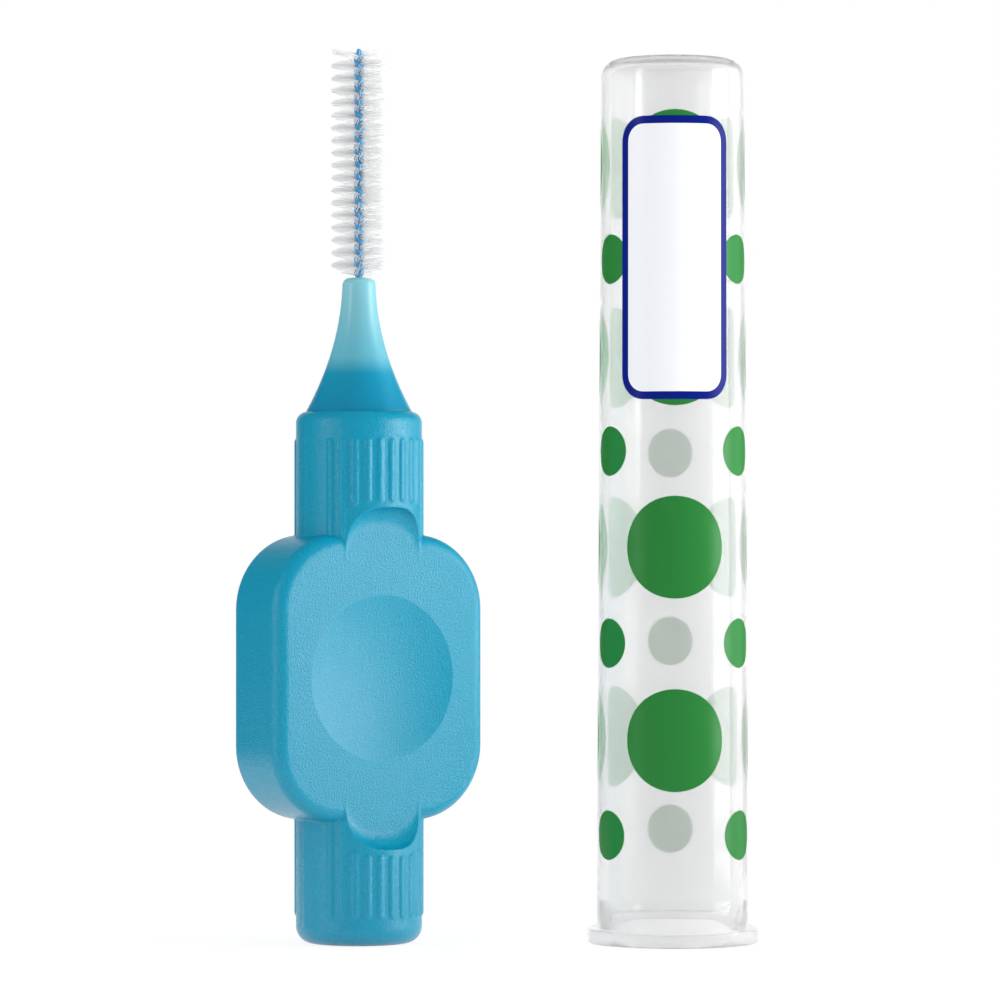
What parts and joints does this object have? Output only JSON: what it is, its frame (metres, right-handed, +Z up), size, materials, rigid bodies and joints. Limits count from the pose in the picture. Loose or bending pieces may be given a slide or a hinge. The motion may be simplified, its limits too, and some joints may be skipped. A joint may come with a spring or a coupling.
{
  "type": "interdental brush",
  "caption": "Small tooth-gap brush: ribbed moulded handle with a grip pad, flexible neck, twisted wire with bristles, and a push-on clear cap standing beside it.",
  "frame": {"origin": "centre of the flat end of the handle's lower collar, on which the brush stands", "axes": "+Z up along the handle and the wire, towards the bristle tip; X across the width of the grip pad, with the cap standing towards +X; the broad faces of the pad look towards -Y, the front, and +Y"},
  "size_m": [0.0308, 0.0206, 0.0581],
  "materials": {
    "handle_plastic": "fine spark-eroded grain",
    "soft_neck": "smooth translucent soft plastic",
    "coated_wire": "smooth plastic coating on steel wire",
    "nylon_bristles": "fine white nylon filament",
    "clear_cap": "clear slightly frosted plastic with a printed pattern"
  },
  "bodies": {
    "handle": {"handle": "handle_plastic", "flexible_neck": "soft_neck"},
    "brush_head": {"core_wire": "coated_wire", "bristles": "nylon_bristles"},
    "cap": {"cap": "clear_cap"}
  },
  "joints": [
    {"name": "neck_flex", "type": "hinge", "parent": "handle", "child": "brush_head", "pos_m": [0, 0, 0.0387], "axis": [0, 1, 0], "range_deg": [-25, 25], "stiffness_Nm_per_rad": 0.017, "deforming": ["flexible_neck"]},
    {"name": "cap_lift", "type": "slide", "parent": "handle", "child": "cap", "axis": [0, 0, 1], "range_m": [0, 0.06]}
  ]
}
